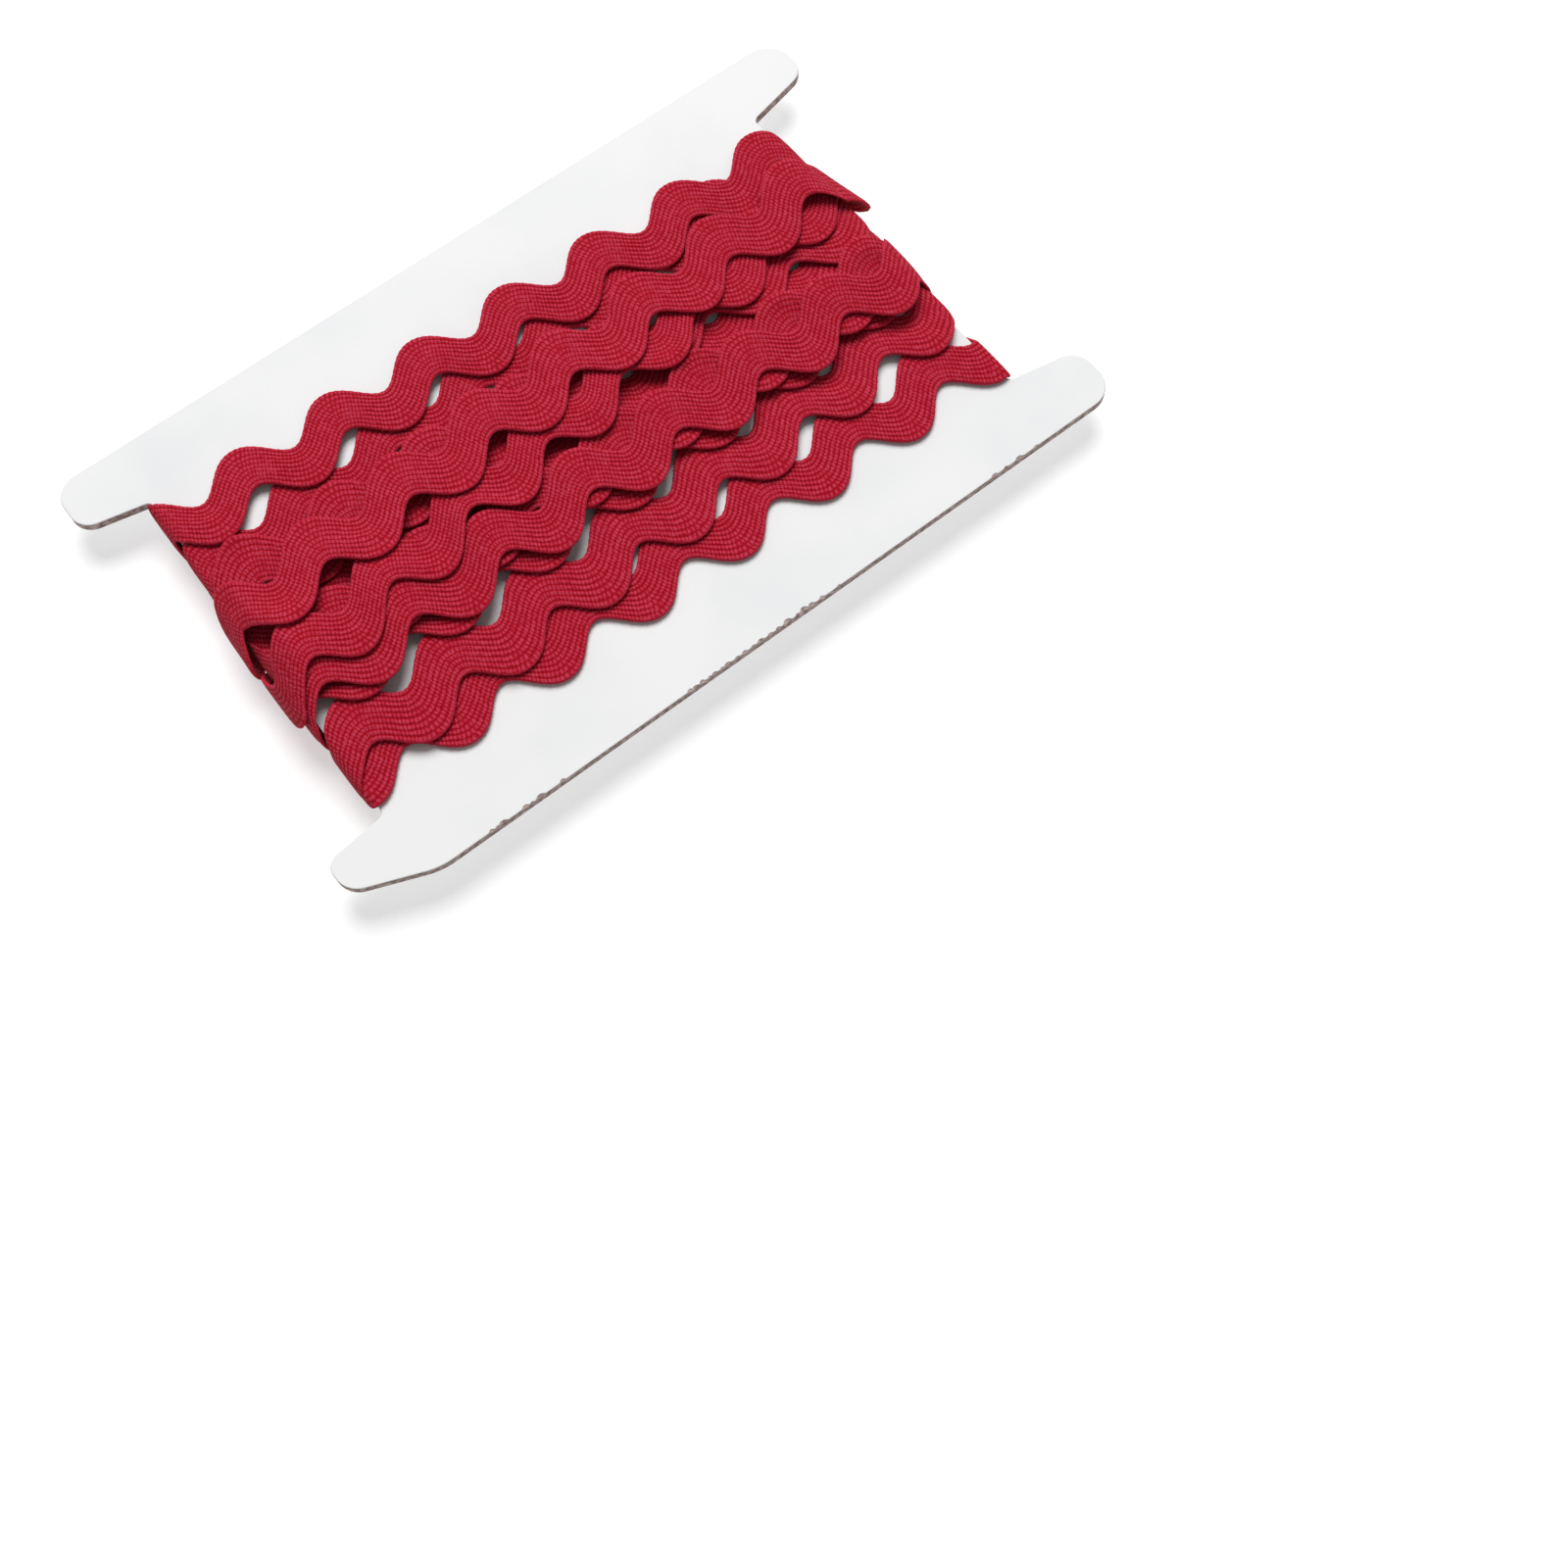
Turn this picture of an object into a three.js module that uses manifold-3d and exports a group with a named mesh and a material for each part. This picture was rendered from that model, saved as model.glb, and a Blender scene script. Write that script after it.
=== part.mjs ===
// A length of ric rac wound lengthwise on a flat paperboard card with a finger at each corner.
// Millimetres. +X along the card, +Y across it, +Z up out of its front face.
// The group's origin is the middle of the whole roll, on the surface it rests on.

import * as THREE from 'three';
import { mergeVertices } from 'three/addons/utils/BufferGeometryUtils.js';
import Module from 'manifold-3d';

const wasm = await Module();
wasm.setup();

// Card
const CARD_THICKNESS = 1.3;
const NOTCH_HALF_LENGTH = 46.5;
const NOTCH_HALF_WIDTH = 26;
const NOTCH_CENTRE_X = -0.8;
const CARD_CORNERS = [
  // x, y: corner, from the centre of the notched part; round: corner radius
  { x: -45.0, y: -35.4, round: 9.0 },
  { x: 56.2, y: -35.4, round: 3.6 },
  { x: 56.2, y: -27.9, round: 3.2 },
  { x: NOTCH_HALF_LENGTH, y: -NOTCH_HALF_WIDTH, round: 1.0 },
  { x: NOTCH_HALF_LENGTH, y: NOTCH_HALF_WIDTH, round: 1.0 },
  { x: 56.9, y: 28.4, round: 3.0 },
  { x: 56.9, y: 35.4, round: 4.0 },
  { x: -55.3, y: 35.2, round: 3.2 },
  { x: -55.3, y: 28.0, round: 2.8 },
  { x: -NOTCH_HALF_LENGTH, y: NOTCH_HALF_WIDTH, round: 1.0 },
  { x: -NOTCH_HALF_LENGTH, y: -NOTCH_HALF_WIDTH, round: 1.0 },
  { x: -55.0, y: -26.9, round: 1.8 },
  { x: -53.6, y: -32.9, round: 2.6 },
];
const ARC_STEPS = 6;

// Tape: a flat braid whose two edges run in waves
const WAVE_LENGTH = 13.2;
const WAVE_SWING = 2.15;
const BAND_HEIGHT = 6.6;
const BEND_FULLNESS = 0.11;
const TAPE_THICKNESS = 0.85;

// Winding
const CLEARANCE = 0.3;
const FINE_STATIONS = [0, 50, 130, 180, 230, 310];
const COARSE_STATIONS = [25, 155, 205, 335];
const FOLD_STEPS = 4;
const FULL_TURN = 2 * Math.PI;
const WAVES_PER_LENGTH = FULL_TURN / WAVE_LENGTH;
const END_GAP = 0.3;
const REST_LAYERS = 5;
const LEAD_X = -14;
const LEAD_LAYERS = 1;
const TAIL_X = -22;
const TAIL_Y = 13.5;
const TURNS = [
  // In the order they are wound, each value pair for the left and the right end.
  // y: middle of the tape at the folds; bow: how far the middle of the run lies off the line between;
  // crest: x of one of the wave's crests; wave: its length; front, back: layers of tape up to the
  // outer face, as the tape runs; reach: how far the folds stand off the card's ends.
  { y: [-19.6, -20.4], bow: -0.4, crest: -0.2, wave: 13.2, front: [1, 1], back: [1, 1], reach: [1.1, 1.1] },
  { y: [-17.2, -12.0], bow: -0.3, crest: -3.4, wave: 13.1, front: [2, 2], back: [2, 2], reach: [1.6, 1.4] },
  { y: [-8.5, -5.0], bow: -0.8, crest: -6.3, wave: 13.1, front: [2.4, 2.4], back: [2, 3], reach: [1.2, 1.3] },
  { y: [-3.4, 2.5], bow: 0, crest: 3.3, wave: 13.0, front: [1.5, 1.5], back: [1.5, 1.5], reach: [1.2, 1.2] },
  { y: [12.9, 16.9], bow: 0, crest: -5.3, wave: 13.1, front: [1, 1], back: [2, 2], reach: [1.1, 1.2] },
  { y: [20.2, 18.2], bow: 0, crest: 4.1, wave: 13.1, front: [2, 2], back: [3, 3], reach: [1.3, 1.5] },
  { y: [9.4, 4.8], bow: 0.1, crest: -2.9, wave: 12.9, front: [2, 2], back: [3, 3], reach: [1.5, 1.7] },
  { y: [-3.6, -5.8], bow: -0.2, crest: 2.7, wave: 13.4, front: [3, 3], back: [4, 4], reach: [1.6, 1.6] },
  { y: [-8.7, -6.2], bow: 0.4, crest: -3.9, wave: 13.1, front: [4, 3.5], back: [5, 5], reach: [1.9, 2.0] },
  { y: [-7.0, 9.6], bow: 1.3, crest: -4.0, wave: 12.9, front: [4.5, 3], back: [4, 5], reach: [2.1, 1.9] },
  { y: [3.9, 11.4], bow: 0.4, crest: 4.0, wave: 12.8, front: [5, 4], back: [5, 5], reach: [2.6, 3.9] },
];
const COVERED_TURNS = [2, 3, 7];

const CARD_LIFT = REST_LAYERS * TAPE_THICKNESS + CLEARANCE + CARD_THICKNESS / 2;

const paper = new THREE.MeshStandardMaterial({ color: 0xeceded, roughness: 0.75, metalness: 0 });
const braid = new THREE.MeshStandardMaterial({ color: 0xb5152c, roughness: 0.9, metalness: 0 });

// Outline with each corner replaced by an arc that touches both of its sides.
function roundedOutline(corners) {
  const points = [];
  corners.forEach((corner, i) => {
    const before = corners[(i + corners.length - 1) % corners.length];
    const after = corners[(i + 1) % corners.length];
    const tip = new THREE.Vector2(corner.x, corner.y);
    const toBefore = new THREE.Vector2(before.x, before.y).sub(tip).normalize();
    const toAfter = new THREE.Vector2(after.x, after.y).sub(tip).normalize();
    const halfAngle = Math.acos(toBefore.dot(toAfter)) / 2;
    const setback = corner.round / Math.tan(halfAngle);
    const centre = toBefore.clone().add(toAfter).normalize();
    centre.multiplyScalar(corner.round / Math.sin(halfAngle)).add(tip);
    const from = toBefore.multiplyScalar(setback).add(tip).sub(centre);
    const to = toAfter.multiplyScalar(setback).add(tip).sub(centre);
    const turn = Math.atan2(from.cross(to), from.dot(to));
    for (let step = 0; step <= ARC_STEPS; step += 1) {
      points.push(from.clone().rotateAround(new THREE.Vector2(), (turn * step) / ARC_STEPS).add(centre));
    }
  });
  return points;
}

function makeCard() {
  const shape = new THREE.Shape(roundedOutline(CARD_CORNERS));
  const geometry = new THREE.ExtrudeGeometry(shape, { depth: CARD_THICKNESS, bevelEnabled: false });
  geometry.translate(0, 0, -CARD_THICKNESS / 2);
  return geometry;
}

// Height of the tape's two edges at a wave phase: full outer bends and tighter inner ones.
function tapeEdges(phase, middle) {
  const wave = WAVE_SWING * Math.cos(phase);
  const fullness = 2 * WAVE_SWING * BEND_FULLNESS * Math.sin(phase) ** 2;
  const low = middle - BAND_HEIGHT / 2 + wave - fullness;
  const high = middle + BAND_HEIGHT / 2 + wave + fullness;
  return { low, high };
}

// Height of the face of a run, from the card's middle, with so many layers of tape under it.
function layerHeight(layers) {
  return CARD_THICKNESS / 2 + CLEARANCE + layers * TAPE_THICKNESS;
}

// Wave phases from one value to another, with the given stations, in degrees, of every wave between.
function phaseSteps(from, to, stations) {
  const between = [];
  for (let start = Math.floor(from / FULL_TURN) * FULL_TURN; start < to; start += FULL_TURN) {
    between.push(...stations.map((degrees) => start + THREE.MathUtils.degToRad(degrees)));
  }
  return [from, ...between.filter((phase) => phase > from + END_GAP && phase < to - END_GAP), to];
}

// One straight run over a face: side is +1 on the front, going right, and -1 on the back, going left.
function faceRun({ side, from, to, x, y, bow, layers, stations }) {
  return phaseSteps(from, to, stations).map((phase) => {
    const share = (phase - from) / (to - from);
    const middle = THREE.MathUtils.lerp(y[0], y[1], share) + bow * 4 * share * (1 - share);
    const along = THREE.MathUtils.lerp(x[0], x[1], share);
    return {
      ...tapeEdges(phase, middle),
      inner: [along, side * layerHeight(0)],
      outer: [along, side * layerHeight(THREE.MathUtils.lerp(layers[0], layers[1], share))],
    };
  });
}

// Half an oval round a card's end, from one face to the other, without its first and last station.
function foldRun({ end, side, reach, phase, y, heights }) {
  const innerReach = Math.max(CLEARANCE, reach - TAPE_THICKNESS);
  const stations = [];
  for (let step = 1; step < FOLD_STEPS; step += 1) {
    const share = step / FOLD_STEPS;
    const bulge = Math.sin(Math.PI * share);
    const rise = side * Math.cos(Math.PI * share);
    const height = rise * side > 0 ? heights[0] : heights[1];
    stations.push({
      ...tapeEdges(THREE.MathUtils.lerp(phase[0], phase[1], share), y),
      inner: [end * (NOTCH_HALF_LENGTH + innerReach * bulge), rise * layerHeight(0)],
      outer: [end * (NOTCH_HALF_LENGTH + reach * bulge), rise * height],
    });
  }
  return stations;
}

// Length of tape in a fold, close enough to carry the wave round it.
function foldLength(reach, heightFrom, heightTo) {
  return Math.PI * Math.sqrt((reach ** 2 + ((heightFrom + heightTo) / 2) ** 2) / 2);
}

// Closed body through a chain of four-cornered stations, each {low, high, inner, outer}.
function chainBody(stations) {
  const positions = [];
  const index = [];
  for (const { low, high, inner, outer } of stations) {
    positions.push(inner[0], low, inner[1]);
    positions.push(inner[0], high, inner[1]);
    positions.push(outer[0], high, outer[1]);
    positions.push(outer[0], low, outer[1]);
  }
  for (let s = 0; s + 1 < stations.length; s += 1) {
    for (let corner = 0; corner < 4; corner += 1) {
      const a = 4 * s + corner;
      const b = 4 * s + ((corner + 1) % 4);
      index.push(a, b, a + 4);
      index.push(b, b + 4, a + 4);
    }
  }
  const last = 4 * (stations.length - 1);
  index.push(0, 2, 1, 0, 3, 2);
  index.push(last, last + 1, last + 2, last, last + 2, last + 3);
  return new wasm.Manifold(new wasm.Mesh({
    numProp: 3,
    vertProperties: new Float32Array(positions),
    triVerts: new Uint32Array(index),
  }));
}

// The wave's phase at a fold of a front run.
function frontPhase(turn, x) {
  return (2 * Math.PI * (x - turn.crest)) / turn.wave;
}

// The run of a turn over the card's front, from its left fold to its right one.
function frontRun(turn, stations) {
  return faceRun({
    side: 1, from: frontPhase(turn, -NOTCH_HALF_LENGTH), to: frontPhase(turn, NOTCH_HALF_LENGTH),
    x: [-NOTCH_HALF_LENGTH, NOTCH_HALF_LENGTH], y: turn.y, bow: turn.bow, layers: turn.front, stations,
  });
}

// Phase that the wave gains round a left fold, from a back run with so many layers to the next front run.
function leftFoldPhase(layers, next) {
  return WAVES_PER_LENGTH * foldLength(next.reach[0], layerHeight(layers), layerHeight(next.front[0]));
}

// The fold round the left end that leads from a back run to the next front run.
function leftFold(layers, backEnd, next, nextFront) {
  const fold = foldRun({
    end: -1, side: -1, reach: next.reach[0], phase: [backEnd, backEnd + leftFoldPhase(layers, next)],
    y: next.y[0], heights: [layerHeight(layers), layerHeight(next.front[0])],
  });
  return [...fold, nextFront[0]];
}

// The hidden start of the tape: a short run on the back and its fold round the left end.
function leadIn(first, front) {
  const backEnd = frontPhase(first, -NOTCH_HALF_LENGTH) - leftFoldPhase(LEAD_LAYERS, first);
  const start = faceRun({
    side: -1, from: backEnd - WAVES_PER_LENGTH * (LEAD_X + NOTCH_HALF_LENGTH), to: backEnd,
    x: [LEAD_X, -NOTCH_HALF_LENGTH], y: [first.y[0], first.y[0]], bow: 0,
    layers: [LEAD_LAYERS, LEAD_LAYERS], stations: COARSE_STATIONS,
  });
  return [...start, ...leftFold(LEAD_LAYERS, backEnd, first, front)];
}

// From the end of one front run round the right end, over the back and round the left end to the next.
// The wave is drawn out or in a little over the back, so that it meets the next run in step.
function returnRun(turn, next, front, nextFront) {
  const heightRight = layerHeight(turn.front[1]);
  const backRight = layerHeight(turn.back[0]);
  const frontEnd = frontPhase(turn, NOTCH_HALF_LENGTH);
  const backStart = frontEnd + WAVES_PER_LENGTH * foldLength(turn.reach[1], heightRight, backRight);
  const rightFold = foldRun({
    end: 1, side: 1, reach: turn.reach[1], phase: [frontEnd, backStart], y: turn.y[1],
    heights: [heightRight, backRight],
  });
  const opening = [front.at(-1), ...rightFold];
  if (!next) {
    const tailEnd = backStart + WAVES_PER_LENGTH * (NOTCH_HALF_LENGTH - TAIL_X);
    const tail = faceRun({
      side: -1, from: backStart, to: tailEnd, x: [NOTCH_HALF_LENGTH, TAIL_X],
      y: [turn.y[1], TAIL_Y], bow: 0, layers: turn.back, stations: COARSE_STATIONS,
    });
    return [...opening, ...tail];
  }
  const foldPhase = leftFoldPhase(turn.back[1], next);
  const arrival = frontPhase(next, -NOTCH_HALF_LENGTH);
  const freeArrival = backStart + WAVES_PER_LENGTH * 2 * NOTCH_HALF_LENGTH + foldPhase;
  const wholeWaves = Math.round((freeArrival - arrival) / FULL_TURN);
  const backEnd = arrival + wholeWaves * FULL_TURN - foldPhase;
  const back = faceRun({
    side: -1, from: backStart, to: backEnd, x: [NOTCH_HALF_LENGTH, -NOTCH_HALF_LENGTH],
    y: [turn.y[1], next.y[0]], bow: 0, layers: turn.back, stations: COARSE_STATIONS,
  });
  return [...opening, ...back, ...leftFold(turn.back[1], backEnd, next, nextFront)];
}

function makeWinding() {
  const fronts = TURNS.map((turn, i) => {
    return frontRun(turn, COVERED_TURNS.includes(i) ? COARSE_STATIONS : FINE_STATIONS);
  });
  const pieces = [chainBody(leadIn(TURNS[0], fronts[0]))];
  TURNS.forEach((turn, i) => {
    pieces.push(chainBody(fronts[i]));
    pieces.push(chainBody(returnRun(turn, TURNS[i + 1], fronts[i], fronts[i + 1] ?? [])));
  });
  const mesh = pieces.reduce((whole, piece) => whole.add(piece)).getMesh();
  const geometry = new THREE.BufferGeometry();
  geometry.setAttribute('position', new THREE.BufferAttribute(mesh.vertProperties, 3));
  geometry.setIndex(new THREE.BufferAttribute(mesh.triVerts, 1));
  return mergeVertices(geometry);
}

function named(name, geometry, material) {
  const mesh = new THREE.Mesh(geometry, material);
  mesh.name = name;
  return mesh;
}

const group = new THREE.Group();
group.add(named('card', makeCard(), paper));
group.add(named('ric_rac_winding', makeWinding(), braid));
group.position.set(NOTCH_CENTRE_X, 0, CARD_LIFT);

export default group;
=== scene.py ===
"""Looks of a length of ric rac wound on a notched paperboard card.

The tape is one wavy braid, laid turn by turn round the card. Each new run is draped over the runs that are
already there, so it bridges the gaps between them and tips where it lies half on another. All sizes are
millimetres, in the card's own frame: x along the card and y across it, from the centre of its notched part,
and z up from the middle of the board.
"""

import logging
import math
from dataclasses import dataclass, field
from typing import Any

import bpy
import numpy as np
from bpy.types import Material, Object
from mathutils import Matrix, Vector


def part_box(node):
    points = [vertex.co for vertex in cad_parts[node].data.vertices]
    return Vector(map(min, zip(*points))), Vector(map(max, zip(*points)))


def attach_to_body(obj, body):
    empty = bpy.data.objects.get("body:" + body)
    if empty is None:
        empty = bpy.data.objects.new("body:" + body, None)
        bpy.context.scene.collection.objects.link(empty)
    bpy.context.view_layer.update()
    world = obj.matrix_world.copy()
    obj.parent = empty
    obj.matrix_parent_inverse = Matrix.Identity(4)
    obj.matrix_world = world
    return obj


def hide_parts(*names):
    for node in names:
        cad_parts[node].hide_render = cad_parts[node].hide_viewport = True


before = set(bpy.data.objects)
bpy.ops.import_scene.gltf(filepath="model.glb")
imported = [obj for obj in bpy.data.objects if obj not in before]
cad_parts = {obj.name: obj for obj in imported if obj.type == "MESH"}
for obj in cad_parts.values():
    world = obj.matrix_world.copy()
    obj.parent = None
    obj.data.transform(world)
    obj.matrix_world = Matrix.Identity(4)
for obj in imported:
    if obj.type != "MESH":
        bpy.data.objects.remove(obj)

LOG = logging.getLogger("ric_rac")
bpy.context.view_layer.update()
CARD_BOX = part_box("card")

MM = 0.001
FULL_TURN = 2 * math.pi
BODY = "root"
NOTCH_CENTRE_X = -0.8
NOTCH_HALF_LENGTH = 46.5
NOTCH_HALF_WIDTH = 26.0
BOARD_THICKNESS = (CARD_BOX[1][2] - CARD_BOX[0][2]) / MM
CARD_LIFT = (CARD_BOX[1][2] + CARD_BOX[0][2]) / 2 / MM
LOWEST_TAPE = CARD_LIFT - BOARD_THICKNESS / 2
Array = np.ndarray
Pair = tuple[float, float]
Triple = tuple[float, float, float]
Colour = tuple[float, float, float, float]
# A leg of the tape's way: its cells, phases and middles, and how loose its fold is.
Leg = tuple[Array, Array, Array, Array]
# A run is a leg over a face and a leg round the fold after it.
LEGS_OF_RUN = 2
LEGS_OF_TURN = 2 * LEGS_OF_RUN
# Sockets of the Mix node that colours use.
MIX_SHARE, MIX_FIRST, MIX_SECOND, MIX_RESULT = 0, 6, 7, 2


class Socket:
    """A node's output that takes part in plain arithmetic. Each operator adds one Math node."""

    def __init__(self, nodes: "NodeTree", link: Any) -> None:
        """Wraps an output socket of that tree."""
        self.nodes = nodes
        self.link = link

    def _math(self, operation: str, *values: Any) -> "Socket":
        """Adds one Math node and gives back its result."""
        return self.nodes.add("ShaderNodeMath", {"operation": operation}, dict(enumerate(values)))

    def __add__(self, other: Any) -> "Socket":
        """Sum."""
        return self._math("ADD", self, other)

    def __radd__(self, other: Any) -> "Socket":
        """Sum with a number on the left."""
        return self._math("ADD", other, self)

    def __sub__(self, other: Any) -> "Socket":
        """Difference."""
        return self._math("SUBTRACT", self, other)

    def __rsub__(self, other: Any) -> "Socket":
        """Difference from a number on the left."""
        return self._math("SUBTRACT", other, self)

    def __mul__(self, other: Any) -> "Socket":
        """Product."""
        return self._math("MULTIPLY", self, other)

    def __rmul__(self, other: Any) -> "Socket":
        """Product with a number on the left."""
        return self._math("MULTIPLY", other, self)

    def cosine(self) -> "Socket":
        """Cosine of the value, in radians."""
        return self._math("COSINE", self)

    def size(self) -> "Socket":
        """The value without its sign."""
        return self._math("ABSOLUTE", self)

    def ramp(self, low: float, high: float) -> "Socket":
        """Smooth step from 0 at low to 1 at high."""
        inputs = {"Value": self, "From Min": low, "From Max": high}
        return self.nodes.add("ShaderNodeMapRange", {"interpolation_type": "SMOOTHSTEP"}, inputs)


class NodeTree:
    """The node tree of a new material."""

    def __init__(self, name: str) -> None:
        """Makes an empty material.

        Args:
            name: The material's name.
        """
        self.material = bpy.data.materials.new(name)
        self.material.use_nodes = True
        self.tree = self.material.node_tree
        self.tree.nodes.clear()

    def add(self, kind: str, settings: dict[str, Any], inputs: dict[Any, Any], output: Any = 0) -> Socket:
        """Adds one node.

        Args:
            kind: The node's type.
            settings: Its settings, which are made first.
            inputs: Values or sockets by input name or number.
            output: Name or number of the output to give back.

        Returns:
            The output socket, wrapped.
        """
        node = self.tree.nodes.new(kind)
        for key, value in settings.items():
            setattr(node, key, value)
        for key, value in inputs.items():
            if isinstance(value, Socket):
                self.tree.links.new(value.link, node.inputs[key])
            else:
                node.inputs[key].default_value = value
        return Socket(self, node.outputs[output] if len(node.outputs) else None)

    def attribute(self, name: str) -> Socket:
        """The value of one of the mesh's own attributes."""
        return self.add("ShaderNodeAttribute", {"attribute_name": name}, {}, "Fac")

    def noise(self, scale: float, detail: float) -> Socket:
        """Noise round 0.5, of that many lumps in a metre and finer layers on them."""
        place = self.add("ShaderNodeTexCoord", {}, {}, "Object")
        return self.add("ShaderNodeTexNoise", {}, {"Vector": place, "Scale": scale, "Detail": detail}, "Fac")

    def wobble(self, scale: float, detail: float) -> Socket:
        """The same noise round 0."""
        return self.noise(scale, detail) - 0.5

    def blend(self, share: Any, first: Any, second: Any) -> Socket:
        """Mix of two colours, with that share of the second."""
        inputs = {MIX_SHARE: share, MIX_FIRST: first, MIX_SECOND: second}
        return self.add("ShaderNodeMix", {"data_type": "RGBA"}, inputs, MIX_RESULT)

    def bump(self, height: Socket, depth: float) -> Socket:
        """The normal bent by a relief, with the depth in metres of a height of 1."""
        return self.add("ShaderNodeBump", {}, {"Height": height, "Distance": depth})

    def finish(self, inputs: dict[str, Any]) -> Material:
        """Ends the tree with one shader.

        Args:
            inputs: Values or sockets of the shader.

        Returns:
            The finished material.
        """
        shader = self.add("ShaderNodeBsdfPrincipled", {}, inputs)
        self.add("ShaderNodeOutputMaterial", {}, {"Surface": shader})
        return self.material


def linear(red: float, green: float, blue: float) -> Colour:
    """A screen colour as the shader's linear colour, by the curve of a standard screen.

    Args:
        red: Red from 0 to 255.
        green: Green from 0 to 255.
        blue: Blue from 0 to 255.

    Returns:
        The linear colour, with full cover.
    """
    shares = np.array([red, green, blue]) / 255
    curve = np.where(shares <= 0.04045, shares / 12.92, ((shares + 0.055) / 1.055) ** 2.4)
    return (*(float(value) for value in curve), 1.0)


@dataclass(frozen=True)
class BraidFinish:
    """Crimson braid: ribs along the waves, each a row of small stitches.

    slow, quick and fuzz are noises, by their lumps in a metre and finer layers. A wander is how far the first
    two shift a pattern, in radians, and a span where a smooth step starts and ends. steepest is the sine of
    the wave's steepest slope. lean is how the stitches slant from rib to rib, and lean_change what a slope
    adds. The ribs' share of the relief is rib_on_slant where the tape runs steep and rib_on_bend in a bend,
    less rib_lost on its outer side. Three colours paint light and shade: painted_groove_shade is painted
    shade in the grooves, highlit_stitch a painted highlight on the stitches' tops and rim painted light on
    the side walls at the tape's edges. painted_highlight_noise is what each noise adds to the painted
    highlight.
    """

    # Painted shade: a darker red laid into the grooves between ribs and stitches, where the relief falls in
    # shadow.
    painted_groove_shade: Colour = linear(132, 0, 15)
    body: Colour = linear(156, 6, 31)
    # Painted highlight: a pale pink laid on the stitches' tops in place of the fibres' sheen.
    highlit_stitch: Colour = linear(184, 60, 84)
    # Painted light: a lighter red on the side walls at both edges of the tape, which keeps them from going
    # dark where they face away from the key.
    rim: Colour = linear(180, 32, 54)
    stitch_pitch: float = 0.485
    rib_crowding: float = 0.12
    steepest: float = 0.71
    slow: Pair = (700.0, 2.0)
    quick: Pair = (1700.0, 1.0)
    fuzz: Pair = (5500.0, 2.0)
    rib_wander: Pair = (3.0, 1.5)
    stitch_wander: Pair = (4.0, 3.0)
    lean: float = 0.5
    lean_change: float = 0.25
    rib_span: Pair = (0.0, 0.65)
    steep_span: Pair = (0.1, 1.0)
    rib_on_slant: float = 0.54
    rib_on_bend: float = 0.42
    rib_lost: float = 0.18
    # Painted shade in the grooves: how much fine noise breaks it up and where its smooth step lies.
    painted_groove_shade_fuzz: float = 0.5
    painted_groove_shade_span: Pair = (0.05, 0.6)
    # Painted highlight on the stitches: what each noise adds, where its smooth step lies and how much of it
    # shows.
    painted_highlight_noise: Triple = (0.4, 0.7, 1.2)
    painted_highlight_span: Pair = (0.4, 1.15)
    painted_highlight_cover: float = 0.8
    # Painted light on the edges' side walls: where its smooth step lies.
    painted_rim_light_span: Pair = (0.465, 0.49)
    relief: float = 0.00004
    relief_fuzz: float = 0.12
    roughness: float = 0.85
    sheen: float = 0.02
    specular: float = 0.1

    def material(self, braid: "Braid") -> Material:
        """Builds the material.

        The relief is a sum of waves. Ribs are a cosine across the tape, closer together on the inner side of
        each bend. Stitches are a cosine along it, leaning one way where the tape climbs and the other way
        where it falls, so that in the bends the two cross and the stitches of one rib stand between those of
        the next. Ribs stand out on the slants and on the inner side of a bend, and fade on its outer side.
        Slow and quick noise shift both, as no two stitches are pulled alike.

        Args:
            braid: The tape, which gives the number of ribs.

        Returns:
            The material.
        """
        nodes = NodeTree("crimson_braid")
        across = nodes.attribute("across")
        along = nodes.attribute("along")
        bend = nodes.attribute("bend")
        slope = nodes.attribute("slant") * (1 / self.steepest)
        slow = nodes.wobble(*self.slow)
        quick = nodes.wobble(*self.quick)
        fuzz = nodes.wobble(*self.fuzz)
        centred = across - 0.5 + bend * across * (1.0 - across) * self.rib_crowding
        ribs = centred * (FULL_TURN * braid.ribs) + slow * self.rib_wander[0] + quick * self.rib_wander[1]
        rib = (0.5 + 0.5 * ribs.cosine()).ramp(*self.rib_span)
        step = along * (FULL_TURN / self.stitch_pitch)
        step = step + slow * self.stitch_wander[0] + quick * self.stitch_wander[1]
        climbing = (step + ribs * (self.lean + self.lean_change * slope)).cosine() * (0.5 + 0.5 * slope)
        falling = (step - ribs * (self.lean - self.lean_change * slope)).cosine() * (0.5 - 0.5 * slope)
        highlit_stitch = 0.5 + 0.5 * (climbing + falling)
        steep = slope.size().ramp(*self.steep_span)
        outer = bend * (2.0 * across - 1.0)
        share = steep * self.rib_on_slant + (1.0 - steep) * (self.rib_on_bend - outer * self.rib_lost)
        relief = rib * share + highlit_stitch * (1.0 - share)
        # Painted shade: the colour falls to the dark groove red where the relief is low.
        clear_of_groove_shade = (relief + self.painted_groove_shade_fuzz * fuzz).ramp(*self.painted_groove_shade_span)
        by_slow, by_quick, by_fuzz = self.painted_highlight_noise
        # Painted highlight: the colour turns pale pink where the relief and the noises are high.
        lit = (relief + by_slow * slow + by_quick * quick + by_fuzz * fuzz).ramp(*self.painted_highlight_span)
        body_with_groove_shade = nodes.blend(clear_of_groove_shade, self.painted_groove_shade, self.body)
        colour = nodes.blend(lit * self.painted_highlight_cover, body_with_groove_shade, self.highlit_stitch)
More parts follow.
